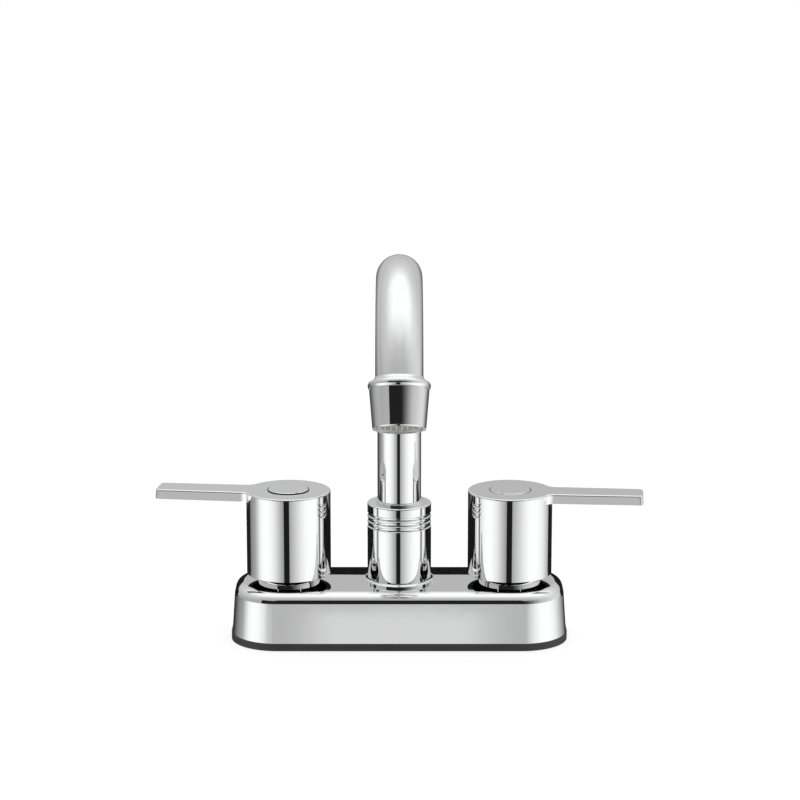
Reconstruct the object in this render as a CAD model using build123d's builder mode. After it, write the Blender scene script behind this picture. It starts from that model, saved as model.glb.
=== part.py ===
from build123d import *
from math import cos, radians, sin, tan
import os

os.makedirs("parts", exist_ok=True)

# Two-handle centerset faucet. The deck is at z = 0, the user stands on the -Y side,
# the hot handle is at -X and the cold handle at +X. Both are shown closed.

handle_centres = 101.6
hot_lever_turn = -6.8
cold_lever_turn = -5.0

# Clearances
running_gap = 0.05
seat_gap = 0.1
thread_gap = 0.05
slip_gap = 0.3

# Deck cover and its gasket
gasket_thickness = 3.3
gasket_lip = 0.4
gasket_rim_height = 3.0
gasket_rim_wall = 1.5
cover_overhang = 26.1
cover_depth = 52.0
cover_end_flat = 9.0
cover_height = 23.0
cover_wall = 2.0
cover_draft = 4.0
cover_shoulder = 5.0

# Brass underbody
boss_step = 2.0
neck_wall = 1.5
spout_boss_wall = 2.5
casting_wall = 1.8
bar_width = 14.0
bar_corner = 3.0
waterway_radius = 3.0
seat_floor = 2.0
inlet_radius = 4.5
post_socket_floor = 6.0

# Threaded shanks and what clamps them below the deck
shank_radius = 10.4
shank_bore = 6.5
shank_length = 52.0
shank_engagement = 5.0
shank_chamfer = 1.0
relief_offset = 1.5
relief_width = 2.0
relief_depth = 0.7
clamp_gap = 15.0
washer_radius = 17.0
washer_thickness = 1.5
nut_across_flats = 30.0
nut_thickness = 7.0
nut_chamfer = 1.2

# Ceramic-disc valves
water_passage = 0.9
skirt_wall = 1.6
disc_radius = 7.9
disc_thickness = 3.0
seal_thickness = 2.0
port_edge = 3.3
port_width = 3.0
port_sweep = 62.0
chamber_room = 3.2
window_width = 8.0
hex_step = 0.5
hex_height = 3.0
sleeve_wall = 3.0
sleeve_length = 11.0
stem_radius = 5.0
tongue_width = 5.0
tongue_depth = 1.0
tongue_thickness = 2.0
tongue_corner = 1.6
stem_ring_section = 1.2
stem_ring_height = 4.0

# Collars under the handles
collar_wall = 0.75
collar_height = 3.2
collar_flange_wall = 2.1
collar_flange_height = 1.0
collar_flange_step = 0.2

# Handles
handle_radius = 19.33
handle_height = 38.75
handle_lift = 0.65
handle_wall = 2.0
handle_crown = 9.0
handle_boss_wall = 3.9
edge_round = 0.7
lever_length = 60.6
lever_root_width = 14.6
lever_tip_width = 13.6
lever_thickness = 4.4
lever_draft = 3.0
lever_root_fillet = 5.0
lever_tip_fillet = 2.0
spline_teeth = 20
spline_step = 0.4
spline_depth = 0.6
button_radius = 9.25
button_thickness = 3.0
button_groove = 0.15
button_edge = 0.25
hot_button_rise = 0.6
cold_button_rise = 0.3
button_skirt = 2.5
button_skirt_wall = 1.0
well_radius = 7.2
well_depth = 4.4
well_floor_wall = 5.7
screw_radius = 1.95
screw_length = 14.5
screw_head_radius = 3.9
screw_head_height = 2.6
screw_head_round = 0.8
screw_hole_gap = 0.2
screw_slot_width = 1.1
screw_slot_depth = 1.4
tapped_depth = 11.0

# Spout hub, post and bearing
hub_wall = 2.02
hub_height = 36.98
hub_top_wall = 3.0
hub_round = 0.7
hub_flare_step = 1.68
hub_flare_height = 0.9
hub_cove = 1.1
hub_groove_count = 3
hub_groove_first = 5.25
hub_groove_pitch = 2.45
hub_groove_width = 1.9
hub_groove_depth = 0.5
post_wall = 2.45
post_spigot_step = 1.5
post_ledge_width = 2.0
bushing_wall = 0.6
trim_ring_height = 1.2
trim_ring_lap = 0.2
trim_ring_round = 0.3
bushing_flange = 1.5
retainer_thickness = 1.3
retainer_depth = 1.0
retainer_opening = 11.0

# Gooseneck
tube_radius = 10.0
tube_wall = 1.0
bend_height = 121.7
bend_radius = 53.8
bend_angle = 157.5
foot_length = 25.0
foot_spigot = 7.0
foot_wall = 4.0
foot_ring_section = 1.4
foot_ring_first = 5.0
foot_ring_pitch = 6.0

# Outlet, measured along the tilted outlet axis from the end of the bend
tube_insertion = 3.0
collar_lip = 0.3
flare_step = 2.3
flare_length = 1.7
flare_bow = 0.36
bead_bulge = 0.75
bead_length = 3.2
outlet_collar_length = 5.0
outlet_thread_step = 0.9
outlet_thread_length = 4.0
housing_step = 0.15
housing_taper = 1.38
housing_length = 16.5
housing_round = 0.7
housing_edge = 0.25
aerator_washer_thickness = 1.2
aerator_washer_width = 2.15
aerator_recess = 0.9
aerator_wall = 1.2
grate_thickness = 2.0
grate_pitch = 2.3
grate_hole = 1.7

# Levels worked out from the sizes above
valve_x = handle_centres / 2
cover_length = handle_centres + 2 * cover_overhang
cover_corner = (cover_depth - cover_end_flat) / 2
cover_top = gasket_thickness + cover_height
cover_ceiling = cover_top - cover_wall
shank_top = gasket_thickness + shank_engagement
chamber_floor = shank_top + seat_floor
seal_top = chamber_floor + seal_thickness
fixed_disc_top = seal_top + disc_thickness
moving_disc_top = fixed_disc_top + disc_thickness
tongue_top = moving_disc_top + tongue_thickness
chamber_top = tongue_top + chamber_room
waterway_z = moving_disc_top + tongue_thickness / 2
collar_top = cover_top + collar_height
hex_top = collar_top + hex_height
sleeve_top = hex_top + sleeve_length
disc_cavity = disc_radius + 2 * running_gap
port_circle = disc_radius - port_edge
window_height = chamber_top - moving_disc_top
skirt_radius = disc_cavity + skirt_wall
cartridge_radius = skirt_radius + water_passage
chamber_radius = cartridge_radius + thread_gap
hex_across_flats = 2 * (cartridge_radius + hex_step)
neck_radius = cartridge_radius + neck_wall
boss_radius = neck_radius + boss_step
collar_bore = neck_radius + thread_gap
stem_bore = stem_radius + running_gap
sleeve_radius = stem_radius + sleeve_wall
spline_radius = stem_radius - spline_step
handle_boss_radius = spline_radius + handle_boss_wall
stem_groove_radius = stem_radius - stem_ring_section + running_gap
stem_ring_z = hex_top + stem_ring_height
washer_bottom = -clamp_gap - washer_thickness
nut_bottom = washer_bottom - nut_thickness
relief_top = nut_bottom - relief_offset
relief_bottom = relief_top - relief_width

handle_bottom = collar_top + handle_lift
handle_top = handle_bottom + handle_height
handle_ceiling = handle_top - handle_crown
boss_bottom = sleeve_top + slip_gap
ledge_z = handle_top - button_thickness
well_floor = ledge_z - well_depth
stem_top = well_floor - well_floor_wall
spline_length = stem_top - boss_bottom
lever_bottom = handle_top - lever_thickness
lever_spread = lever_thickness * tan(radians(lever_draft))

hub_top = cover_top + hub_height
hub_ceiling = hub_top - hub_top_wall
tube_bore = tube_radius - tube_wall
spout_bore = tube_radius + running_gap
post_radius = spout_bore + post_wall
post_spigot_radius = post_radius - post_spigot_step
post_bore = tube_radius - post_ledge_width
spout_boss_radius = post_radius + spout_boss_wall
hub_bore = post_radius + seat_gap
hub_radius = hub_bore + hub_wall
hub_flare_radius = hub_radius + hub_flare_step
bushing_bottom = hub_ceiling - bushing_flange
bushing_radius = spout_bore + bushing_wall
bushing_hole = bushing_radius + running_gap
retainer_radius = post_radius - slip_gap
retainer_top = bushing_bottom - slip_gap
retainer_bottom = retainer_top - retainer_thickness
post_top = retainer_bottom - slip_gap
tube_start = bushing_bottom + slip_gap
foot_bottom = tube_start - foot_length
post_ledge = foot_bottom - seat_gap
post_bottom = gasket_thickness + post_socket_floor
foot_bore = tube_radius - foot_wall
foot_grooves = [foot_bottom + foot_ring_first + ring * foot_ring_pitch for ring in range(2)]
foot_groove_radius = tube_radius - foot_ring_section + running_gap

# The outlet axis starts where the bend ends and leans toward the user
bend_end = radians(bend_angle)
outlet_origin = Vector(
    0,
    -bend_radius * (1 - cos(bend_end)),
    bend_height + bend_radius * sin(bend_end),
)
outlet_direction = Vector(0, -sin(bend_end), cos(bend_end))
outlet_axis = Axis(outlet_origin, outlet_direction)
outlet_section = Plane(outlet_origin, x_dir=(1, 0, 0), z_dir=Vector(1, 0, 0).cross(outlet_direction))

flare_radius = tube_radius + flare_step
bead_radius = flare_radius + bead_bulge
outlet_thread_radius = tube_radius + outlet_thread_step
housing_top_radius = flare_radius + housing_step
housing_bottom_radius = housing_top_radius - housing_taper
housing_bore = tube_radius
insert_radius = housing_bore - thread_gap
housing_end = outlet_collar_length + housing_length
spigot_end = outlet_collar_length + outlet_thread_length
insert_start = spigot_end + aerator_washer_thickness
insert_end = housing_end - aerator_recess

# Each lever stands a few degrees off the long axis, by the tooth its stem was put on
sides = {
    "hot": {"x": -valve_x, "lever_angle": 180 + hot_lever_turn, "button_rise": hot_button_rise},
    "cold": {"x": valve_x, "lever_angle": cold_lever_turn, "button_rise": cold_button_rise},
}


def save(solid, name):
    solid.label = name
    export_step(solid, f"parts/{name}.step")


def section_at(x):
    return Plane((x, 0, 0), x_dir=(1, 0, 0), z_dir=(0, -1, 0))


def upright_at(x):
    return Axis((x, 0, 0), (0, 0, 1))


def turned(plane, axis, *outline):
    with BuildPart() as piece:
        with BuildSketch(plane):
            with BuildLine():
                Polyline(*outline, close=True)
            make_face()
        revolve(axis=axis)
    return piece.part


def flat_ring(plane, axis, inner, outer, start, end):
    return turned(plane, axis, (inner, start), (outer, start), (outer, end), (inner, end))


def round_ring(plane, axis, groove_radius, section, centre):
    with BuildPart() as piece:
        with BuildSketch(plane):
            with Locations((groove_radius + section / 2, centre)):
                Circle(section / 2)
        revolve(axis=axis)
    return piece.part


def spline_points(root_radius, tip_radius):
    points = []
    for step in range(2 * spline_teeth):
        angle = radians(step * 180 / spline_teeth)
        radius = tip_radius if step % 2 else root_radius
        points.append((radius * cos(angle), radius * sin(angle)))
    return points


# Round edges of a piece, the one closest to a given radius first
def edges_of_radius(piece, radius):
    def miss(edge):
        return abs(edge.radius - radius)

    return piece.edges().filter_by(GeomType.CIRCLE).sort_by(miss)


# Upright edges of a piece, the ones nearest its axis at x first
# Edges that climb by the given height, those nearest the axis at x first
def rising_edges(piece, x, height):
    def climbs(edge):
        return abs(edge.bounding_box().size.Z - height) < height / 10

    def reach(edge):
        middle = edge.center()
        return Vector(middle.X - x, middle.Y, 0).length

    return piece.edges().filter_by(climbs).sort_by(reach)


# Deck cover: a drafted, round-shouldered shell, open below, with holes for both
# valve necks and the spout post
with BuildPart() as base_cover:
    with BuildSketch(Plane.XY.offset(gasket_thickness)):
        RectangleRounded(cover_length, cover_depth, cover_corner)
    extrude(amount=cover_height, taper=cover_draft)
    fillet(base_cover.edges().group_by(Axis.Z)[-1], radius=cover_shoulder)
    offset(amount=-cover_wall, openings=base_cover.faces().sort_by(Axis.Z)[0])
    with BuildSketch(Plane.XY.offset(cover_ceiling - cover_wall)):
        with Locations((-valve_x, 0), (valve_x, 0)):
            Circle(neck_radius + slip_gap)
        Circle(post_radius + slip_gap)
    extrude(amount=3 * cover_wall, mode=Mode.SUBTRACT)
save(base_cover.part, "base_cover")


# Gasket plate: shows as a thin black line round the cover, with a rim that centres
# the cover and openings for the shanks and the spout boss
rim_inset = cover_wall + 2 * slip_gap
with BuildPart() as base_gasket:
    with BuildSketch():
        RectangleRounded(
            cover_length + 2 * gasket_lip, cover_depth + 2 * gasket_lip, cover_corner + gasket_lip
        )
        with Locations((-valve_x, 0), (valve_x, 0)):
            Circle(shank_radius + slip_gap, mode=Mode.SUBTRACT)
    extrude(amount=gasket_thickness)
    with BuildSketch(Plane.XY.offset(gasket_thickness)):
        RectangleRounded(
            cover_length - 2 * rim_inset, cover_depth - 2 * rim_inset, cover_corner - rim_inset
        )
        offset(amount=-gasket_rim_wall, mode=Mode.SUBTRACT)
    extrude(amount=gasket_rim_height)
save(base_gasket.part, "base_gasket")


# Underbody: one brass casting with two valve bosses, the spout boss and the
# waterway bar that joins them
with BuildPart() as underbody:
    with BuildSketch(Plane.XY.offset(gasket_thickness)):
        with Locations((-valve_x, 0), (valve_x, 0)):
            Circle(boss_radius)
        Circle(spout_boss_radius)
    extrude(amount=cover_ceiling - gasket_thickness)
    with BuildSketch(Plane.XY.offset(cover_ceiling)):
        with Locations((-valve_x, 0), (valve_x, 0)):
            Circle(neck_radius)
    extrude(amount=collar_top - cover_ceiling)
    with BuildSketch(Plane.YZ):
        with Locations((0, waterway_z)):
            RectangleRounded(bar_width, 2 * (waterway_radius + casting_wall), bar_corner)
    extrude(amount=valve_x, both=True)
    # valve chambers with their inlets and the sockets that the shanks screw into
    with BuildSketch(Plane.XY.offset(chamber_floor)):
        with Locations((-valve_x, 0), (valve_x, 0)):
            Circle(chamber_radius)
    extrude(amount=collar_top - chamber_floor, mode=Mode.SUBTRACT)
    with BuildSketch(Plane.XY.offset(gasket_thickness)):
        with Locations((-valve_x, 0), (valve_x, 0)):
            Circle(inlet_radius)
    extrude(amount=chamber_floor - gasket_thickness, mode=Mode.SUBTRACT)
    with BuildSketch(Plane.XY.offset(gasket_thickness)):
        with Locations((-valve_x, 0), (valve_x, 0)):
            Circle(shank_radius + thread_gap)
    extrude(amount=shank_engagement, mode=Mode.SUBTRACT)
    # socket of the spout post and the waterway from each chamber to it
    with BuildSketch(Plane.XY.offset(post_bottom)):
        Circle(post_spigot_radius + thread_gap)
    extrude(amount=cover_ceiling - post_bottom, mode=Mode.SUBTRACT)
    with BuildSketch(Plane.YZ):
        with Locations((0, waterway_z)):
            Circle(waterway_radius)
    extrude(amount=valve_x, both=True, mode=Mode.SUBTRACT)
save(underbody.part, "underbody")


# Shank: the nut's thread above a short relief, the supply hose's thread below it
def shank(x):
    with BuildPart() as piece:
        with BuildSketch(Plane.XY.offset(-shank_length)):
            with Locations((x, 0)):
                Circle(shank_radius)
        extrude(amount=shank_length + shank_top)
        chamfer(piece.edges().group_by(Axis.Z)[0], length=shank_chamfer)
        with BuildSketch(Plane.XY.offset(-shank_length)):
            with Locations((x, 0)):
                Circle(shank_bore)
        extrude(amount=shank_length + shank_top, mode=Mode.SUBTRACT)
        with BuildSketch(Plane.XY.offset(relief_bottom)):
            with Locations((x, 0)):
                Circle(shank_radius)
                Circle(shank_radius - relief_depth, mode=Mode.SUBTRACT)
        extrude(amount=relief_width, mode=Mode.SUBTRACT)
    return piece.part


def mounting_nut(x):
    top = washer_bottom
    bottom = nut_bottom
    corner_radius = nut_across_flats / 2 / cos(radians(30))
    with BuildPart() as piece:
        with BuildSketch(Plane.XY.offset(bottom)):
            with Locations((x, 0)):
                RegularPolygon(nut_across_flats / 2, 6, major_radius=False)
        extrude(amount=nut_thickness)
        # both faces are turned down to the flats
        with BuildSketch(section_at(x)):
            with BuildLine():
                Polyline(
                    (0, bottom),
                    (nut_across_flats / 2, bottom),
                    (corner_radius, bottom + nut_chamfer),
                    (corner_radius, top - nut_chamfer),
                    (nut_across_flats / 2, top),
                    (0, top),
                    close=True,
                )
            make_face()
        revolve(axis=upright_at(x), mode=Mode.INTERSECT)
        with BuildSketch(Plane.XY.offset(bottom)):
            with Locations((x, 0)):
                Circle(shank_radius + thread_gap)
        extrude(amount=nut_thickness, mode=Mode.SUBTRACT)
    return piece.part


# Cartridge: skirt round the discs, hexagon to screw it down, sleeve that guides the stem
def cartridge_body(x):
    with BuildPart() as piece:
        with BuildSketch(section_at(x)):
            with BuildLine():
                Polyline(
                    (0, seal_top),
                    (skirt_radius, seal_top),
                    (skirt_radius, chamber_top + casting_wall),
                    (cartridge_radius, chamber_top + casting_wall),
                    (cartridge_radius, collar_top),
                    (sleeve_radius, collar_top),
                    (sleeve_radius, sleeve_top),
                    (0, sleeve_top),
                    close=True,
                )
            make_face()
        revolve(axis=upright_at(x))
        with BuildSketch(Plane.XY.offset(collar_top)):
            with Locations((x, 0)):
                RegularPolygon(hex_across_flats / 2, 6, major_radius=False)
        extrude(amount=hex_height)
        with BuildSketch(section_at(x)):
            with BuildLine():
                Polyline(
                    (0, seal_top),
                    (disc_cavity, seal_top),
                    (disc_cavity, chamber_top),
                    (stem_bore, chamber_top),
                    (stem_bore, sleeve_top),
                    (0, sleeve_top),
                    close=True,
                )
            make_face()
        revolve(axis=upright_at(x), mode=Mode.SUBTRACT)
        # windows in the skirt let the water out to the bar
        with BuildSketch(Plane((x, 0, moving_disc_top), x_dir=(0, 1, 0), z_dir=(1, 0, 0))):
            with Locations((0, window_height / 2)):
                Rectangle(window_width, window_height)
        extrude(amount=cartridge_radius, both=True, mode=Mode.SUBTRACT)
    return piece.part


def ceramic_disc(x, bottom, port_angle, slotted):
    with BuildPart() as piece:
        with BuildSketch(Plane.XY.offset(bottom)):
            with Locations((x, 0)):
                Circle(disc_radius)
        extrude(amount=disc_thickness)
        for turn in (0, 180):
            with BuildSketch(Plane((x, 0, bottom), x_dir=(1, 0, 0), z_dir=(0, 0, 1))):
                SlotArc(
                    CenterArc((0, 0), port_circle, port_angle + turn - port_sweep / 2, port_sweep),
                    height=port_width,
                )
            extrude(amount=disc_thickness, mode=Mode.SUBTRACT)
        if slotted:
            with BuildSketch(Plane.XY.offset(bottom + disc_thickness - tongue_depth)):
                with Locations((x, 0)):
                    Rectangle(2 * disc_radius, tongue_width + 2 * running_gap)
            extrude(amount=tongue_depth, mode=Mode.SUBTRACT)
    return piece.part


# Stem: a tongue that turns the upper disc, a shaft with an O-ring groove and the
# toothed end that carries the handle
def valve_stem(x):
    groove_bottom = stem_ring_z - stem_ring_section / 2 - running_gap
    groove_top = stem_ring_z + stem_ring_section / 2 + running_gap
    with BuildPart() as piece:
        with BuildSketch(Plane.XY.offset(moving_disc_top - tongue_depth)):
            with Locations((x, 0)):
                RectangleRounded(2 * (disc_radius - tongue_depth), tongue_width, tongue_corner)
        extrude(amount=tongue_depth + tongue_thickness)
        with BuildSketch(section_at(x)):
            with BuildLine():
                Polyline(
                    (0, tongue_top),
                    (stem_radius, tongue_top),
                    (stem_radius, groove_bottom),
                    (stem_groove_radius, groove_bottom),
                    (stem_groove_radius, groove_top),
                    (stem_radius, groove_top),
                    (stem_radius, sleeve_top),
                    (spline_radius - spline_depth, sleeve_top),
                    (spline_radius - spline_depth, stem_top),
                    (0, stem_top),
                    close=True,
                )
            make_face()
        revolve(axis=upright_at(x))
        with BuildSketch(Plane.XY.offset(boss_bottom)):
            with Locations((x, 0)):
                Polygon(*spline_points(spline_radius - spline_depth, spline_radius), align=None)
        extrude(amount=spline_length)
        with BuildSketch(Plane.XY.offset(stem_top - tapped_depth)):
            with Locations((x, 0)):
                Circle(screw_radius + thread_gap)
        extrude(amount=tapped_depth, mode=Mode.SUBTRACT)
    return piece.part


# Collar: clamps the cover to the valve's neck, a low flange with a cone above it
def handle_collar(x):
    flange_radius = collar_bore + collar_flange_wall
    flange_top = cover_top + collar_flange_height
    return turned(
        section_at(x),
        upright_at(x),
        (collar_bore, cover_top),
        (flange_radius, cover_top),
        (flange_radius, flange_top),
        (flange_radius - collar_flange_step, flange_top),
        (collar_bore + collar_wall, collar_top),
        (collar_bore, collar_top),
    )


# Handle: a cylinder, hollow from below, with one drafted lever flush with its top
def handle(x, lever_angle):
    turn = radians(lever_angle)
    lever_plane = Plane(
        (x, 0, lever_bottom), x_dir=(cos(turn), sin(turn), 0), z_dir=(0, 0, 1)
    )
    half_root = lever_root_width / 2 + lever_spread
    half_tip = lever_tip_width / 2 + lever_spread
    reach = lever_length + lever_spread
    with BuildPart() as piece:
        with BuildSketch(Plane.XY.offset(lever_bottom)):
            with Locations((x, 0)):
                Circle(handle_radius)
        extrude(amount=lever_thickness)
        with BuildSketch(lever_plane):
            with BuildLine():
                Polyline(
                    (0, -half_root),
                    (handle_radius, -half_root),
                    (reach, -half_tip),
                    (reach, half_tip),
                    (handle_radius, half_root),
                    (0, half_root),
                    close=True,
                )
            make_face()
        extrude(amount=lever_thickness, taper=lever_draft)
        fillet(rising_edges(piece, x, lever_thickness)[-2:], radius=lever_tip_fillet)
        fillet(rising_edges(piece, x, lever_thickness)[:2], radius=lever_root_fillet)
        with BuildSketch(Plane.XY.offset(handle_bottom)):
            with Locations((x, 0)):
                Circle(handle_radius)
        extrude(amount=handle_height - lever_thickness)
        fillet(piece.faces().sort_by(Axis.Z)[-1].edges(), radius=edge_round)
        # hollow underside round the boss
        with BuildSketch(section_at(x)):
            with BuildLine():
                Polyline(
                    (0, handle_bottom),
                    (handle_radius - handle_wall, handle_bottom),
                    (handle_radius - handle_wall, handle_ceiling),
                    (handle_boss_radius, handle_ceiling),
                    (handle_boss_radius, boss_bottom),
                    (0, boss_bottom),
                    close=True,
                )
            make_face()
        revolve(axis=upright_at(x), mode=Mode.SUBTRACT)
        # toothed bore, screw hole, screw well and the seat of the index button
        with BuildSketch(Plane.XY.offset(boss_bottom)):
            with Locations((x, 0)):
                Polygon(
                    *spline_points(
                        spline_radius - spline_depth + running_gap, spline_radius + running_gap
                    ),
                    align=None,
                )
        extrude(amount=spline_length + slip_gap, mode=Mode.SUBTRACT)
        with BuildSketch(section_at(x)):
            with BuildLine():
                Polyline(
                    (0, boss_bottom),
                    (screw_radius + screw_hole_gap, boss_bottom),
                    (screw_radius + screw_hole_gap, well_floor),
                    (well_radius, well_floor),
                    (well_radius, ledge_z),
                    (button_radius + button_groove, ledge_z),
                    (button_radius + button_groove, handle_top - button_edge),
                    (button_radius + button_groove + button_edge, handle_top),
                    (0, handle_top),
                    close=True,
                )
            make_face()
        revolve(axis=upright_at(x), mode=Mode.SUBTRACT)
    return piece.part


# Index button: closes the screw's well and stands a little above the handle's top
def index_button(x, rise):
    skirt_outer = well_radius - button_groove
    return turned(
        section_at(x),
        upright_at(x),
        (0, ledge_z),
        (skirt_outer - button_skirt_wall, ledge_z),
        (skirt_outer - button_skirt_wall, ledge_z - button_skirt),
        (skirt_outer, ledge_z - button_skirt),
        (skirt_outer, ledge_z),
        (button_radius, ledge_z),
        (button_radius, handle_top + rise - button_edge),
        (button_radius - button_edge, handle_top + rise),
        (0, handle_top + rise),
    )


def handle_screw(x):
    head_top = well_floor + screw_head_height
    with BuildPart() as piece:
        with BuildSketch(section_at(x)):
            with BuildLine():
                Polyline(
                    (0, well_floor - screw_length),
                    (screw_radius, well_floor - screw_length),
                    (screw_radius, well_floor),
                    (screw_head_radius, well_floor),
                    (screw_head_radius, head_top),
                    (0, head_top),
                    close=True,
                )
            make_face()
        revolve(axis=upright_at(x))
        fillet(piece.edges().group_by(Axis.Z)[-1], radius=screw_head_round)
        with BuildSketch(Plane.XY.offset(head_top - screw_slot_depth)):
            with Locations((x, 0)):
                Rectangle(screw_head_radius, screw_slot_width)
                Rectangle(screw_slot_width, screw_head_radius)
        extrude(amount=screw_slot_depth, mode=Mode.SUBTRACT)
    return piece.part


for side, place in sides.items():
    x = place["x"]
    section = section_at(x)
    axis = upright_at(x)
    save(shank(x), f"{side}_shank")
    save(
        flat_ring(section, axis, shank_radius + slip_gap, washer_radius, washer_bottom, -clamp_gap),
        f"{side}_mounting_washer",
    )
    save(mounting_nut(x), f"{side}_mounting_nut")
    save(
        flat_ring(section, axis, inlet_radius, skirt_radius, chamber_floor, seal_top),
        f"{side}_seat_seal",
    )
    save(ceramic_disc(x, seal_top, 0, slotted=False), f"{side}_fixed_disc")
    save(ceramic_disc(x, fixed_disc_top, 90, slotted=True), f"{side}_moving_disc")
    save(cartridge_body(x), f"{side}_cartridge_body")
    save(valve_stem(x), f"{side}_stem")
    save(
        round_ring(section, axis, stem_groove_radius, stem_ring_section - running_gap, stem_ring_z),
        f"{side}_stem_o_ring",
    )
    save(handle_collar(x), f"{side}_collar")
    save(handle(x, place["lever_angle"]), f"{side}_handle")
    save(index_button(x, place["button_rise"]), f"{side}_index_button")
    save(handle_screw(x), f"{side}_handle_screw")


# Spout post: screwed into the underbody, bored for the foot of the spout
with BuildPart() as spout_post:
    with BuildSketch(section_at(0)):
        with BuildLine():
            Polyline(
                (post_bore, post_bottom),
                (post_spigot_radius, post_bottom),
                (post_spigot_radius, cover_ceiling),
                (post_radius, cover_ceiling),
                (post_radius, post_top),
                (spout_bore, post_top),
                (spout_bore, post_ledge),
                (post_bore, post_ledge),
                close=True,
            )
        make_face()
    revolve(axis=Axis.Z)
    with BuildSketch(Plane.YZ):
        with Locations((0, waterway_z)):
            Circle(waterway_radius)
    extrude(amount=spout_boss_radius, both=True, mode=Mode.SUBTRACT)
save(spout_post.part, "spout_post")


# Spout hub: turned sleeve with a flared foot and three grooves below its top
with BuildPart() as spout_hub:
    with BuildSketch(section_at(0)):
        with BuildLine():
            flare_top = cover_top + hub_flare_height
            Line((hub_bore, cover_top), (hub_flare_radius, cover_top))
            Line((hub_flare_radius, cover_top), (hub_flare_radius, flare_top))
            Line((hub_flare_radius, flare_top), (hub_radius + hub_cove, flare_top))
            RadiusArc((hub_radius + hub_cove, flare_top), (hub_radius, flare_top + hub_cove), hub_cove)
            Line((hub_radius, flare_top + hub_cove), (hub_radius, hub_top))
            Line((hub_radius, hub_top), (bushing_hole, hub_top))
            Line((bushing_hole, hub_top), (bushing_hole, hub_ceiling))
            Line((bushing_hole, hub_ceiling), (hub_bore, hub_ceiling))
            Line((hub_bore, hub_ceiling), (hub_bore, cover_top))
        make_face()
        for groove in range(hub_groove_count):
            with Locations((hub_radius, hub_top - hub_groove_first - groove * hub_groove_pitch)):
                Ellipse(hub_groove_depth, hub_groove_width / 2, mode=Mode.SUBTRACT)
    revolve(axis=Axis.Z)
    top_edges = spout_hub.edges().group_by(Axis.Z)[-1].sort_by(SortBy.LENGTH)
    fillet(top_edges[-1], radius=hub_round)
save(spout_hub.part, "spout_hub")


# Bearing bushing inside the hub's top
save(
    turned(
        section_at(0),
        Axis.Z,
        (spout_bore, bushing_bottom),
        (post_radius - seat_gap, bushing_bottom),
        (post_radius - seat_gap, hub_ceiling),
        (bushing_radius, hub_ceiling),
        (bushing_radius, hub_top),
        (spout_bore, hub_top),
    ),
    "spout_bushing",
)


# Trim ring round the foot of the tube, laid over the joint between hub and bushing
with BuildPart() as spout_trim_ring:
    with BuildSketch(Plane.XY.offset(hub_top)):
        Circle(bushing_hole + trim_ring_lap)
        Circle(spout_bore, mode=Mode.SUBTRACT)
    extrude(amount=trim_ring_height)
    ring_edges = spout_trim_ring.edges().group_by(Axis.Z)[-1].sort_by(SortBy.LENGTH)
    fillet(ring_edges[-1], radius=trim_ring_round)
save(spout_trim_ring.part, "spout_trim_ring")


# Foot of the spout: brass, brazed into the tube, with grooves for two O-rings and
# the split ring that holds it down
with BuildPart() as spout_foot:
    with BuildSketch(section_at(0)):
        with BuildLine():
            Polyline(
                (foot_bore, foot_bottom),
                (tube_radius, foot_bottom),
                (tube_radius, tube_start),
                (tube_bore, tube_start),
                (tube_bore, tube_start + foot_spigot),
                (foot_bore, tube_start + foot_spigot),
                close=True,
            )
        make_face()
        groove_height = foot_ring_section + 2 * running_gap
        for groove_z in foot_grooves:
            with Locations((foot_groove_radius, groove_z)):
                Rectangle(
                    2 * foot_ring_section,
                    groove_height,
                    align=(Align.MIN, Align.CENTER),
                    mode=Mode.SUBTRACT,
                )
        with Locations((tube_radius - retainer_depth, retainer_bottom - seat_gap)):
            Rectangle(
                2 * retainer_depth,
                retainer_thickness + 2 * seat_gap,
                align=(Align.MIN, Align.MIN),
                mode=Mode.SUBTRACT,
            )
    revolve(axis=Axis.Z)
save(spout_foot.part, "spout_foot")

with BuildPart() as spout_o_rings:
    for groove_z in foot_grooves:
        with BuildSketch(section_at(0)):
            ring_section = foot_ring_section - running_gap
            with Locations((foot_groove_radius + ring_section / 2, groove_z)):
                Circle(ring_section / 2)
        revolve(axis=Axis.Z)
save(spout_o_rings.part, "spout_o_rings")

with BuildPart() as spout_retainer:
    with BuildSketch(Plane.XY.offset(retainer_bottom)):
        Circle(retainer_radius)
        Circle(tube_radius - retainer_depth + running_gap, mode=Mode.SUBTRACT)
        with Locations((0, retainer_radius)):
            Rectangle(retainer_opening, 2 * retainer_radius, mode=Mode.SUBTRACT)
    extrude(amount=retainer_thickness)
save(spout_retainer.part, "spout_retainer")


# Gooseneck tube: straight up, round the bend and a short way into the outlet collar
with BuildPart() as spout_tube:
    with BuildLine(Plane.YZ) as route:
        Line((0, tube_start), (0, bend_height))
        CenterArc((-bend_radius, bend_height), bend_radius, 0, bend_angle)
    with BuildLine() as tail:
        Line(outlet_origin, outlet_origin + outlet_direction * tube_insertion)
    with BuildSketch(Plane.XY.offset(tube_start)):
        Circle(tube_radius)
        Circle(tube_bore, mode=Mode.SUBTRACT)
    sweep(path=Wire(route.edges() + tail.edges()))
save(spout_tube.part, "spout_tube")


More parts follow.
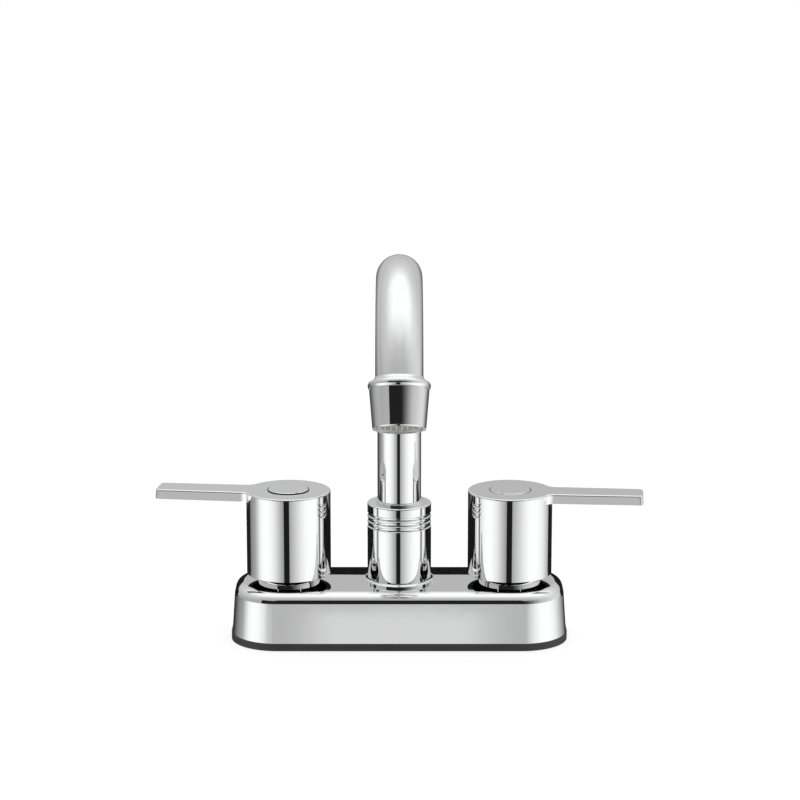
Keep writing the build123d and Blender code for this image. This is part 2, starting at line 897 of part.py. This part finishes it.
# Outlet collar: flared lip and round bead outside, thread for the aerator below
with BuildPart() as outlet_collar:
    with BuildSketch(outlet_section):
        with BuildLine():
            bead_top = flare_length
            bead_bottom = flare_length + bead_length
            Line((tube_radius, 0), (tube_radius + collar_lip, 0))
            SagittaArc((tube_radius + collar_lip, 0), (flare_radius, bead_top), flare_bow)
            ThreePointArc(
                (flare_radius, bead_top),
                (bead_radius, (bead_top + bead_bottom) / 2),
                (flare_radius, bead_bottom),
            )
            Polyline(
                (flare_radius, bead_bottom),
                (flare_radius, outlet_collar_length),
                (outlet_thread_radius, outlet_collar_length),
                (outlet_thread_radius, spigot_end),
                (tube_bore, spigot_end),
                (tube_bore, tube_insertion),
                (tube_radius, tube_insertion),
                (tube_radius, 0),
            )
        make_face()
    revolve(axis=outlet_axis)
save(outlet_collar.part, "outlet_collar")


# Aerator housing: tapered chrome sleeve screwed onto the collar
with BuildPart() as aerator_housing:
    with BuildSketch(outlet_section):
        with BuildLine():
            Polyline(
                (outlet_thread_radius + thread_gap, outlet_collar_length),
                (housing_top_radius - housing_edge, outlet_collar_length),
                (housing_top_radius, outlet_collar_length + housing_edge),
                (housing_bottom_radius, housing_end),
                (housing_bore, housing_end),
                (housing_bore, spigot_end),
                (outlet_thread_radius + thread_gap, spigot_end),
                close=True,
            )
        make_face()
    revolve(axis=outlet_axis)
    end_edges = edges_of_radius(aerator_housing, housing_bottom_radius)
    fillet(end_edges[0], radius=housing_round)
save(aerator_housing.part, "aerator_housing")

save(
    flat_ring(
        outlet_section,
        outlet_axis,
        insert_radius - aerator_washer_width,
        insert_radius,
        spigot_end,
        insert_start,
    ),
    "aerator_washer",
)


# Aerator insert: a cup whose lower end is a grate of square holes
with BuildPart() as aerator_insert:
    with BuildSketch(outlet_section):
        with BuildLine():
            Polyline(
                (0, insert_end),
                (insert_radius, insert_end),
                (insert_radius, insert_start),
                (insert_radius - aerator_wall, insert_start),
                (insert_radius - aerator_wall, insert_end - grate_thickness),
                (0, insert_end - grate_thickness),
                close=True,
            )
        make_face()
    revolve(axis=outlet_axis)
    grate_plane = Plane(
        outlet_origin + outlet_direction * insert_end, x_dir=(1, 0, 0), z_dir=outlet_direction
    )
    with BuildSketch(grate_plane):
        grate_rows = int(2 * (insert_radius - aerator_wall) / grate_pitch)
        reach = grate_pitch * grate_rows / 2
        for row in range(grate_rows):
            for column in range(grate_rows):
                across = (row - (grate_rows - 1) / 2) * grate_pitch
                along = (column - (grate_rows - 1) / 2) * grate_pitch
                if (across**2 + along**2) ** 0.5 < reach:
                    with Locations((across, along)):
                        Rectangle(grate_hole, grate_hole)
    extrude(amount=-grate_thickness, mode=Mode.SUBTRACT)
save(aerator_insert.part, "aerator_insert")
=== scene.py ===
import bmesh
import bpy
import math
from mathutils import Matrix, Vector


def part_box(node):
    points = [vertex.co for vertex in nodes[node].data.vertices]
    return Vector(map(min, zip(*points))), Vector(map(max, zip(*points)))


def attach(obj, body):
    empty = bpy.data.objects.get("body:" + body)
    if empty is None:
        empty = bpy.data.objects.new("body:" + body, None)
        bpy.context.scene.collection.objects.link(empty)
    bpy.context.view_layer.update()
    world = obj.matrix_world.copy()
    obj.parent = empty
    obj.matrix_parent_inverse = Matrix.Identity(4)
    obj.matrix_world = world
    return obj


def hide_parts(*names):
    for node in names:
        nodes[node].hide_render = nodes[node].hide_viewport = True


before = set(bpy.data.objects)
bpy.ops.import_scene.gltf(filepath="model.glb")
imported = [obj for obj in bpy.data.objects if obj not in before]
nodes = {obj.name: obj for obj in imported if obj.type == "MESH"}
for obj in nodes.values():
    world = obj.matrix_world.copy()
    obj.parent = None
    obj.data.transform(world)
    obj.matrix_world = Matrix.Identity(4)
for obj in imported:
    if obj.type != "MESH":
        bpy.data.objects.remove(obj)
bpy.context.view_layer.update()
print("frame loaded:", len(nodes), "nodes")


# Small helpers for node trees
def newTree(owner):
    owner.use_nodes = True
    owner.node_tree.nodes.clear()
    return owner.node_tree


def addNode(tree, kind, settings=None, inputs=None):
    node = tree.nodes.new(kind)
    for name, value in (settings or {}).items():
        setattr(node, name, value)
    for name, value in (inputs or {}).items():
        if hasattr(value, "is_output"):
            tree.links.new(value, node.inputs[name])
        else:
            node.inputs[name].default_value = value
    return node


def maths(tree, operation, *values):
    inputs = {place: value for place, value in enumerate(values)}
    return addNode(tree, "ShaderNodeMath", {"operation": operation}, inputs).outputs[0]


# Smooth step from 0 at low to 1 at high
def smoothStep(tree, value, low, high):
    inputs = {"Value": value, "From Min": low, "From Max": high}
    settings = {"interpolation_type": "SMOOTHSTEP"}
    return addNode(tree, "ShaderNodeMapRange", settings, inputs).outputs[0]


# Studio, as seen in the chrome. Directions are in degrees: azimuth 0 is in front of
# the faucet and positive to the right, elevation 0 is level.
# The stops of the walls and the sweep come from brightness measured in the photograph's chrome.
studio = {
    # brightness of each wall against elevation
    "frontWall": [(20, 0.42), (38, 0.48), (54, 0.58), (66, 0.83), (76, 0.97), (84, 1.07)],
    "rightWall": [(-8, 0.80), (8, 0.69), (20, 0.71), (38, 0.82), (52, 1.03), (62, 1.08)],
    "leftWall": [(-8, 0.33), (2, 0.45), (10, 0.42), (19, 0.53), (38, 0.65), (50, 0.84), (66, 1.07)],
    "backWall": [
        (-9, 0.10), (2, 0.44), (8, 0.55), (16, 0.55), (24, 0.60), (36, 0.68), (44, 0.83), (54, 1.06),
    ],
    "frontCorner": (20, 100),
    "backCorner": (100, 150),
    # brightness of the lit table sweep against azimuth
    "sweep": [
        (-180, 0.01), (-145, 0.05), (-125, 0.22), (-100, 0.42), (-80, 0.98), (-67, 1.08), (-52, 1.04),
        (-37, 0.86), (-20, 0.49), (-5, 0.18), (8, 0.45), (22, 0.66), (37, 0.89), (52, 1.05), (76, 1.08),
        (98, 0.92), (118, 0.56), (138, 0.25), (152, 0.05), (180, 0.01),
    ],
    "sweepTop": -7.4,
    "sweepDrop": 4.0,
    "sweepDropSpan": (80, 110),
    "sweepSoftness": 2.0,
    # black flag in front, with a taller middle
    "flag": {
        "left": (-44.5, -41.5), "right": (6, 62), "low": (-7.6, -7.2), "high": (25, 26.5),
        "rise": 5.8, "riseSpan": (5, 13), "brightness": 0.015,
    },
    # front edge of the table, its shade to both sides and the dark slit below it
    "tableEdge": {
        "half": (17, 25), "low": (-10.5, -10.3), "fade": (-9.2, -8.6), "side": (18, 28),
        "brightness": 0.71, "upper": 0.50,
    },
    "tableShade": {"near": (1.3, 2.75), "far": (12, 26), "strength": 0.31},
    "slit": {"left": (-11.5, -10.5), "right": (3.5, 4.5), "top": (-10.6, -10.2), "brightness": 0.012},
    # two grey cards low at the back, which the level tops show
    "backShade": {"half": (20, 40), "low": (15.6, 15.9), "high": (16.8, 17.6), "brightness": 0.49},
    "rightCard": {"half": (6, 12), "low": (12.0, 13.0), "high": (15.0, 15.3), "brightness": 0.50},
    "diffuseBrightness": 0.9,
}


def directionAngles(tree):
    direction = addNode(tree, "ShaderNodeTexCoord").outputs["Generated"]
    split = addNode(tree, "ShaderNodeSeparateXYZ", inputs={0: direction})
    towards = maths(tree, "MULTIPLY", split.outputs["Y"], -1)
    azimuth = maths(tree, "DEGREES", maths(tree, "ARCTAN2", split.outputs["X"], towards))
    elevation = maths(tree, "DEGREES", maths(tree, "ARCSINE", split.outputs["Z"]))
    return azimuth, elevation


# Piecewise curve through the stops, as a colour ramp over low..high
def curve(tree, value, stops, low, high, top=1.2):
    inputs = {"Value": value, "From Min": low, "From Max": high}
    share = addNode(tree, "ShaderNodeMapRange", inputs=inputs).outputs[0]
    ramp = addNode(tree, "ShaderNodeValToRGB", inputs={0: share})
    elements = ramp.color_ramp.elements
    for place, (angle, brightness) in enumerate(stops):
        element = elements[place] if place < 2 else elements.new(1)
        element.position = (angle - low) / (high - low)
        element.color = (brightness / top, brightness / top, brightness / top, 1)
    return maths(tree, "MULTIPLY", ramp.outputs[0], top)


def band(tree, value, rise, fall):
    up = smoothStep(tree, value, *rise)
    down = smoothStep(tree, value, *reversed(fall))
    return maths(tree, "MULTIPLY", up, down)


def paintOver(tree, below, mask, brightness):
    node = addNode(tree, "ShaderNodeMix", {"data_type": "FLOAT"})
    for place, value in ((0, mask), (2, below), (3, brightness)):
        if hasattr(value, "is_output"):
            tree.links.new(value, node.inputs[place])
        else:
            node.inputs[place].default_value = value
    return node.outputs[0]


def studioWalls(tree, azimuth, elevation, spread):
    level = curve(tree, elevation, studio["frontWall"], -90, 90)
    mirrored = maths(tree, "MULTIPLY", azimuth, -1)
    right = curve(tree, elevation, studio["rightWall"], -90, 90)
    level = paintOver(tree, level, smoothStep(tree, azimuth, *studio["frontCorner"]), right)
    left = curve(tree, elevation, studio["leftWall"], -90, 90)
    level = paintOver(tree, level, smoothStep(tree, mirrored, *studio["frontCorner"]), left)
    back = curve(tree, elevation, studio["backWall"], -90, 90)
    return paintOver(tree, level, smoothStep(tree, spread, *studio["backCorner"]), back)


def studioTable(tree, level, azimuth, elevation, spread):
    sweep = curve(tree, azimuth, studio["sweep"], -180, 180)
    drop = maths(tree, "MULTIPLY", smoothStep(tree, spread, *studio["sweepDropSpan"]), studio["sweepDrop"])
    lifted = maths(tree, "ADD", elevation, drop)
    top = studio["sweepTop"]
    level = paintOver(tree, level, smoothStep(tree, lifted, top, top - studio["sweepSoftness"]), sweep)
    # the table's front edge, a little darker to both sides of its middle
    edge = studio["tableEdge"]
    shade = studio["tableShade"]
    fade = maths(
        tree,
        "MULTIPLY",
        smoothStep(tree, elevation, *edge["fade"]),
        smoothStep(tree, spread, *reversed(edge["side"])),
    )
    dim = band(tree, spread, shade["near"], shade["far"])
    keep = maths(tree, "SUBTRACT", 1, maths(tree, "MULTIPLY", dim, shade["strength"]))
    face = paintOver(tree, maths(tree, "MULTIPLY", keep, edge["brightness"]), fade, edge["upper"])
    mask = maths(
        tree,
        "MULTIPLY",
        smoothStep(tree, spread, *reversed(edge["half"])),
        band(tree, elevation, edge["low"], studio["flag"]["low"]),
    )
    level = paintOver(tree, level, mask, face)
    slit = studio["slit"]
    below = smoothStep(tree, elevation, *reversed(slit["top"]))
    mask = maths(tree, "MULTIPLY", band(tree, azimuth, slit["left"], slit["right"]), below)
    return paintOver(tree, level, mask, slit["brightness"])


def studioFlags(tree, level, azimuth, elevation, spread):
    flag = studio["flag"]
    rise = maths(tree, "MULTIPLY", smoothStep(tree, spread, *reversed(flag["riseSpan"])), flag["rise"])
    lowered = maths(tree, "SUBTRACT", elevation, rise)
    tall = maths(
        tree,
        "MULTIPLY",
        smoothStep(tree, elevation, *flag["low"]),
        smoothStep(tree, lowered, *reversed(flag["high"])),
    )
    mask = maths(tree, "MULTIPLY", band(tree, azimuth, flag["left"], flag["right"]), tall)
    level = paintOver(tree, level, mask, flag["brightness"])
    fromBack = maths(tree, "SUBTRACT", 180, spread)
    onRight = smoothStep(tree, azimuth, -1, 1)
    for name in ("rightCard", "backShade"):
        stripe = studio[name]
        mask = maths(
            tree,
            "MULTIPLY",
            smoothStep(tree, fromBack, *reversed(stripe["half"])),
            band(tree, elevation, stripe["low"], stripe["high"]),
        )
        if name == "rightCard":
            mask = maths(tree, "MULTIPLY", mask, onRight)
        level = paintOver(tree, level, mask, stripe["brightness"])
    return level


def makeStudio():
    world = bpy.data.worlds.new("studio")
    bpy.context.scene.world = world
    tree = newTree(world)
    azimuth, elevation = directionAngles(tree)
    spread = maths(tree, "ABSOLUTE", azimuth)
    level = studioWalls(tree, azimuth, elevation, spread)
    level = studioFlags(tree, level, azimuth, elevation, spread)
    level = studioTable(tree, level, azimuth, elevation, spread)
    # metal sees the studio, the camera plain white, all other rays soft even light
    path = addNode(tree, "ShaderNodeLightPath")
    level = paintOver(tree, studio["diffuseBrightness"], path.outputs["Is Glossy Ray"], level)
    level = paintOver(tree, level, path.outputs["Is Camera Ray"], 1.0)
    background = addNode(tree, "ShaderNodeBackground", inputs={"Color": level, "Strength": 1.0})
    output = addNode(tree, "ShaderNodeOutputWorld")
    tree.links.new(background.outputs[0], output.inputs[0])


makeStudio()
print("studio made")

# Deck: plain white to the camera, keeps a soft shadow of the faucet
deck = {"size": 6.0, "depth": 0.0003, "whiteShare": 0.8, "shadowShare": 0.3, "colour": (0.9, 0.9, 0.9, 1)}


def makeDeck():
    half = deck["size"] / 2
    corners = [(-half, -half, 0), (half, -half, 0), (half, half, 0), (-half, half, 0)]
    mesh = bpy.data.meshes.new("deckFloor")
    mesh.from_pydata(corners, [], [(0, 1, 2, 3)])
    floor = bpy.data.objects.new("deckFloor", mesh)
    floor.location = (0, 0, -deck["depth"])
    bpy.context.collection.objects.link(floor)
    material = bpy.data.materials.new("deckWhite")
    tree = newTree(material)
    glow = {"Color": (1, 1, 1, 1), "Strength": deck["whiteShare"]}
    white = addNode(tree, "ShaderNodeEmission", inputs=glow)
    dim = tuple(deck["shadowShare"] * part for part in deck["colour"][:3]) + (1,)
    matt = addNode(tree, "ShaderNodeBsdfDiffuse", inputs={"Color": dim})
    both = addNode(tree, "ShaderNodeAddShader", inputs={0: white.outputs[0], 1: matt.outputs[0]})
    plain = addNode(tree, "ShaderNodeBsdfDiffuse", inputs={"Color": deck["colour"]})
    path = addNode(tree, "ShaderNodeLightPath")
    choice = {0: path.outputs["Is Camera Ray"], 1: plain.outputs[0], 2: both.outputs[0]}
    seen = addNode(tree, "ShaderNodeMixShader", inputs=choice)
    output = addNode(tree, "ShaderNodeOutputMaterial")
    tree.links.new(seen.outputs[0], output.inputs[0])
    mesh.materials.append(material)
    floor.visible_glossy = False


makeDeck()

# Low black card behind the faucet, seen only in the chrome
backCard = {"half": 0.16, "y": 0.060, "top": 0.0415, "colour": (0.02, 0.02, 0.02, 1)}


def makeBackCard():
    half, y, top = backCard["half"], backCard["y"], backCard["top"]
    corners = [(-half, y, 0), (half, y, 0), (half, y, top), (-half, y, top)]
    mesh = bpy.data.meshes.new("backCard")
    mesh.from_pydata(corners, [], [(0, 1, 2, 3)])
    card = bpy.data.objects.new("backCard", mesh)
    bpy.context.collection.objects.link(card)
    material = bpy.data.materials.new("cardBlack")
    tree = newTree(material)
    black = addNode(tree, "ShaderNodeBsdfDiffuse", inputs={"Color": backCard["colour"]})
    output = addNode(tree, "ShaderNodeOutputMaterial")
    tree.links.new(black.outputs[0], output.inputs[0])
    mesh.materials.append(material)
    card.visible_camera = False
    card.visible_diffuse = False
    card.visible_shadow = False


makeBackCard()
print("deck and card made")

# Camera
view = {"place": (0.0, -1.12416, 0.35331), "pitch": 12.17, "lens": 113.86, "shiftX": 0.0009}


def makeCamera():
    data = bpy.data.cameras.new("camera")
    data.lens = view["lens"]
    data.sensor_width = 36
    data.shift_x = view["shiftX"]
    camera = bpy.data.objects.new("camera", data)
    camera.location = view["place"]
    camera.rotation_euler = (math.radians(90 - view["pitch"]), 0, 0)
    bpy.context.collection.objects.link(camera)
    bpy.context.scene.camera = camera


makeCamera()
bpy.context.scene.view_settings.view_transform = "Standard"
print("camera made")

# Finishes
chrome = {
    "dark": (0.92, 0.922, 0.926, 1),
    "light": (0.94, 0.942, 0.946, 1),
    "roughness": (0.012, 0.034),
    "wipeSize": 18.0,
    "waveSize": 40.0,
    "waveHeight": 0.00003,
}


def noise(tree, scale):
    place = addNode(tree, "ShaderNodeTexCoord").outputs["Object"]
    inputs = {"Vector": place, "Scale": scale, "Detail": 3.0}
    return addNode(tree, "ShaderNodeTexNoise", inputs=inputs).outputs[0]


# Noise lies mostly between 0.3 and 0.7, so that stretch is spread over low..high
def spreadOver(tree, value, low, high):
    inputs = {"Value": value, "From Min": 0.3, "From Max": 0.7, "To Min": low, "To Max": high}
    return addNode(tree, "ShaderNodeMapRange", inputs=inputs).outputs[0]


def finishMaterial(tree, shader):
    output = addNode(tree, "ShaderNodeOutputMaterial")
    tree.links.new(shader.outputs[0], output.inputs[0])


def bumped(tree, height, distance, below=None):
    inputs = {"Height": height, "Distance": distance, "Strength": 0.5}
    if below is not None:
        inputs["Normal"] = below
    return addNode(tree, "ShaderNodeBump", inputs=inputs).outputs[0]


def tinted(tree, value, dark, light):
    mixer = addNode(tree, "ShaderNodeMix", {"data_type": "RGBA"})
    tree.links.new(value, mixer.inputs[0])
    mixer.inputs[6].default_value = dark
    mixer.inputs[7].default_value = light
    return mixer.outputs[2]


# A soft waviness under the plating, and a faint wipe in its sheen
def chromeFinish(material):
    tree = newTree(material)
    wipe = noise(tree, chrome["wipeSize"])
    wave = noise(tree, chrome["waveSize"])
    shader = addNode(
        tree,
        "ShaderNodeBsdfPrincipled",
        inputs={
            "Base Color": tinted(tree, wipe, chrome["dark"], chrome["light"]),
            "Metallic": 1.0,
            "Roughness": spreadOver(tree, wipe, *chrome["roughness"]),
            "Normal": bumped(tree, wave, chrome["waveHeight"]),
        },
    )
    finishMaterial(tree, shader)


# Fine rings left by a lathe: noise that changes fast with height and slowly round the part
def latheMarks(tree, scale):
    place = addNode(tree, "ShaderNodeTexCoord").outputs["Object"]
    around = 12
    inputs = {"Vector": place, "Scale": (around, around, scale)}
    squeezed = addNode(tree, "ShaderNodeMapping", inputs=inputs)
    marks = addNode(
        tree, "ShaderNodeTexNoise", inputs={"Vector": squeezed.outputs[0], "Scale": 1.0, "Detail": 3.0}
    )
    return marks.outputs[0]


def plainFinish(material, look):
    tree = newTree(material)
    grain = noise(tree, look["grainSize"])
    cloud = noise(tree, look["cloudSize"])
    normal = bumped(tree, grain, look["grainHeight"])
    if look.get("marks"):
        normal = bumped(tree, latheMarks(tree, look["marks"]), look["markHeight"], normal)
    shader = addNode(
        tree,
        "ShaderNodeBsdfPrincipled",
        inputs={
            "Base Color": tinted(tree, cloud, look["dark"], look["light"]),
            "Metallic": look["metallic"],
            "Roughness": spreadOver(tree, grain, *look["roughness"]),
            "Normal": normal,
        },
    )
    finishMaterial(tree, shader)


finishes = {
    # each look runs from dark to light in slow clouds, with a fine grain and, on turned pieces, lathe marks
    "brass": {
        "dark": (0.68, 0.48, 0.21, 1), "light": (0.78, 0.58, 0.28, 1), "metallic": 1.0,
        "roughness": (0.20, 0.34),
        "grainSize": 900, "grainHeight": 0.00001, "cloudSize": 60, "marks": 2600, "markHeight": 0.00001,
    },
    "plated_steel": {
        "dark": (0.52, 0.53, 0.54, 1), "light": (0.70, 0.70, 0.70, 1), "metallic": 1.0,
        "roughness": (0.25, 0.42),
        "grainSize": 1200, "grainHeight": 0.00003, "cloudSize": 120, "marks": 1800, "markHeight": 0.00002,
    },
    "black_gasket": {
        "dark": (0.024, 0.024, 0.025, 1), "light": (0.048, 0.048, 0.047, 1), "metallic": 0.0,
        "roughness": (0.42, 0.62),
        "grainSize": 1600, "grainHeight": 0.00008, "cloudSize": 45,
    },
    "black_rubber": {
        "dark": (0.014, 0.014, 0.015, 1), "light": (0.030, 0.030, 0.029, 1), "metallic": 0.0,
        "roughness": (0.55, 0.8),
        "grainSize": 2500, "grainHeight": 0.00004, "cloudSize": 200,
    },
    "valve_ceramic": {
        "dark": (0.74, 0.72, 0.67, 1), "light": (0.90, 0.89, 0.86, 1), "metallic": 0.0,
        "roughness": (0.14, 0.26),
        "grainSize": 2500, "grainHeight": 0.00001, "cloudSize": 700,
    },
    "aerator_plastic": {
        "dark": (0.46, 0.46, 0.45, 1), "light": (0.54, 0.54, 0.53, 1), "metallic": 0.0,
        "roughness": (0.35, 0.5),
        "grainSize": 2500, "grainHeight": 0.00002, "cloudSize": 150,
    },
    "bushing_plastic": {
        "dark": (0.54, 0.54, 0.54, 1), "light": (0.66, 0.66, 0.65, 1), "metallic": 0.0,
        "roughness": (0.28, 0.42),
        "grainSize": 2500, "grainHeight": 0.00002, "cloudSize": 150, "marks": 2000, "markHeight": 0.00001,
    },
    # the ring at the tube's foot is satin, not mirror bright
    "satin_chrome": {
        "dark": (0.82, 0.83, 0.84, 1), "light": (0.90, 0.90, 0.91, 1), "metallic": 1.0,
        "roughness": (0.10, 0.16),
        "grainSize": 900, "grainHeight": 0.00002, "cloudSize": 90, "marks": 3000, "markHeight": 0.00001,
    },
}


def dressNodes():
    for name, node in nodes.items():
        for place in node.material_slots:
            slotName = place.material.name.split(".")[0]
            if name == "spout_trim_ring":
                place.material = bpy.data.materials.new("satinChrome")
                slotName = "satin_chrome"
            if slotName == "polished_chrome":
                chromeFinish(place.material)
            else:
                plainFinish(place.material, finishes[slotName])


dressNodes()
print("finishes made")

# Threaded shanks, with the supply thread below the relief and the nut's thread above it
thread = {
    "pitch": 0.001814, "depth": 0.00085, "turnSegments": 72, "upperTop": -0.0015, "runOut": 0.0012,
    "profile": (0.0, 0.0, 0.5, 1.0, 1.0, 0.5),  # share of the depth at each row of one pitch
}
shankShape = {
    "bore": 0.0065, "reliefTop": -0.0250, "reliefBottom": -0.0270, "reliefDepth": 0.0007, "chamfer": 0.001,
}


def plainRow(z, radius):
    return [(radius, z)] * thread["turnSegments"]


# Rows of one threaded stretch: each row climbs one pitch a turn, held between the stretch's two ends
def threadRows(low, high, radius):
    pitch, segments, profile = thread["pitch"], thread["turnSegments"], thread["profile"]
    rise = len(profile)
    turns = int((high - low) / pitch) + 2
    rows = []
    for row in range(-rise, turns * rise):
        line = []
        for step in range(segments):
            z = low + pitch * (row / rise + step / segments)
            z = min(max(z, low), high)
            fade = min(1.0, (z - low) / thread["runOut"], (high - z) / thread["runOut"])
            line.append((radius - thread["depth"] * profile[row % rise] * fade, z))
        rows.append(line)
    return rows


# Closed turned mesh about the upright at x, from sections of rows. A threaded section also
# says how many rows it climbs in a turn.
def latheMesh(name, x, sections, sharp):
    segments = thread["turnSegments"]
    points, faces, starts = [], [], []
    for rows, climbs in sections:
        starts.append(len(points))
        for line in rows:
            for step, (radius, z) in enumerate(line):
                angle = 2 * math.pi * step / segments
                points.append((x + radius * math.cos(angle), radius * math.sin(angle), z))
    for (rows, climbs), start in zip(sections, starts):
        for row in range(len(rows) - 1):
            for step in range(segments):
                here = start + row * segments + step
                above = here + segments
                if step < segments - 1:
                    faces.append((here, here + 1, above + 1, above))
                    continue
                # the last column meets the first one, a whole pitch of rows further up on a thread
                first = row + climbs
                if first + 1 < len(rows):
                    first = start + first * segments
                    faces.append((here, first, first + segments, above))
    mesh = bpy.data.meshes.new(name)
    mesh.from_pydata(points, [], faces)
    shape = bmesh.new()
    shape.from_mesh(mesh)
    closeBy = 0.000002
    bmesh.ops.remove_doubles(shape, verts=shape.verts, dist=closeBy)
    bmesh.ops.dissolve_degenerate(shape, edges=shape.edges, dist=closeBy)
    bmesh.ops.recalc_face_normals(shape, faces=shape.faces)
    shape.to_mesh(mesh)
    shape.free()
    for polygon in mesh.polygons:
        polygon.use_smooth = True
    mesh.set_sharp_from_angle(angle=math.radians(sharp))
    piece = bpy.data.objects.new(name, mesh)
    bpy.context.collection.objects.link(piece)
    return piece


def makeShank(side):
    node = nodes[f"{side}_shank"]
    low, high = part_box(f"{side}_shank")
    x = (low[0] + high[0]) / 2
    radius = (high[0] - low[0]) / 2
    bottom, top = low[2], high[2]
    bore, chamfer = shankShape["bore"], shankShape["chamfer"]
    neck = radius - shankShape["reliefDepth"]
    rise = len(thread["profile"])
    lower = threadRows(bottom + chamfer, shankShape["reliefBottom"], radius)
    upper = threadRows(shankShape["reliefTop"], thread["upperTop"], radius)
    relief = [
        plainRow(shankShape["reliefBottom"], radius),
        plainRow(shankShape["reliefBottom"], neck),
        plainRow(shankShape["reliefTop"], neck),
        plainRow(shankShape["reliefTop"], radius),
    ]
    head = [
        plainRow(thread["upperTop"], radius),
        plainRow(top, radius),
        plainRow(top, bore),
        plainRow(bottom, bore),
        plainRow(bottom, radius - chamfer),
        plainRow(bottom + chamfer, radius),
    ]
    sections = [(lower, rise), (relief, 0), (upper, rise), (head, 0)]
    piece = latheMesh(f"{side}_threaded_shank", x, sections, 35)
    piece.data.materials.append(node.material_slots[0].material)
    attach(piece, "fixed_body")
    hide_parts(f"{side}_shank")


for side in ("hot", "cold"):
    makeShank(side)
print("threads made")

# Black ring in the groove round each index button, a little proud of the handle's top: a dark piece as
# painted shade in the gap round the button, prouder on the hot side so that its dark arc is thicker
buttonRing = {
    "inner": 0.00927, "foot": 0.00938, "outer": 0.00958, "depth": 0.0002, "round": 0.00002,
    "proud": {"hot": 0.00036, "cold": 0.00006},
}


def makeButtonRing(side):
    low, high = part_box(f"{side}_index_button")
    x = (low[0] + high[0]) / 2
    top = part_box(f"{side}_handle")[1][2]
    inner, foot, outer = buttonRing["inner"], buttonRing["foot"], buttonRing["outer"]
    bottom = top - buttonRing["depth"]
    crest = top + buttonRing["proud"][side]
    shoulder = crest - buttonRing["round"]
    section = [
        plainRow(bottom, inner),
        plainRow(bottom, foot),
        plainRow(top + buttonRing["round"] / 2, outer),
        plainRow(shoulder, outer),
        plainRow(crest, (inner + outer) / 2),
        plainRow(shoulder, inner),
        plainRow(bottom, inner),
    ]
    piece = latheMesh(f"{side}_button_gap_shade", x, [(section, 0)], 40)
    # the black rubber look gives the ring its dark colour, painted shade for the button gap
    material = bpy.data.materials.new("buttonGapShadeBlack")
    plainFinish(material, finishes["black_rubber"])
    piece.data.materials.append(material)
    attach(piece, f"{side}_handle_set")


for side in ("hot", "cold"):
    makeButtonRing(side)
print("button rings made")
